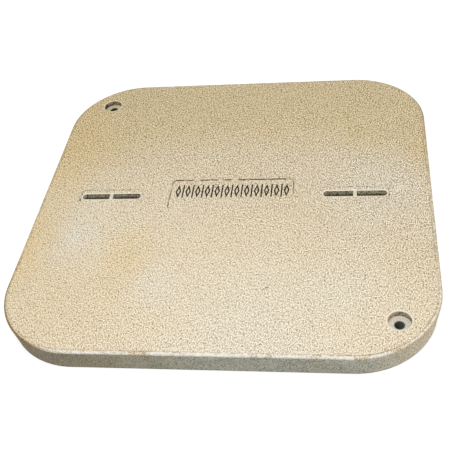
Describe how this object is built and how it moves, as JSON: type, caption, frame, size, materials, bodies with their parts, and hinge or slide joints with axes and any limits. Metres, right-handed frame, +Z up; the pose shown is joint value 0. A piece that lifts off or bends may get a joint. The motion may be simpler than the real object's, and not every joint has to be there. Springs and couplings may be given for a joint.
{
  "type": "cable pit cover",
  "caption": "Square cast polymer concrete pit cover with rounded corners, drafted sides, diagonal counterbored bolt holes, bridged pull slots and a sunk label panel.",
  "frame": {"origin": "middle of the underside, on the plane that seats on the pit's ledge", "axes": "+Z up out of the pit, square to the top; +X along the pull slots; +Y to the far edge, so that the bolt holes lie at +X -Y and -X +Y"},
  "size_m": [0.6472, 0.6472, 0.0413],
  "materials": {
    "polymer_concrete": "fine pebbled cast top, smooth border and sides, dusty tan"
  },
  "bodies": {
    "root": {"cover_slab": "polymer_concrete"}
  },
  "joints": []
}
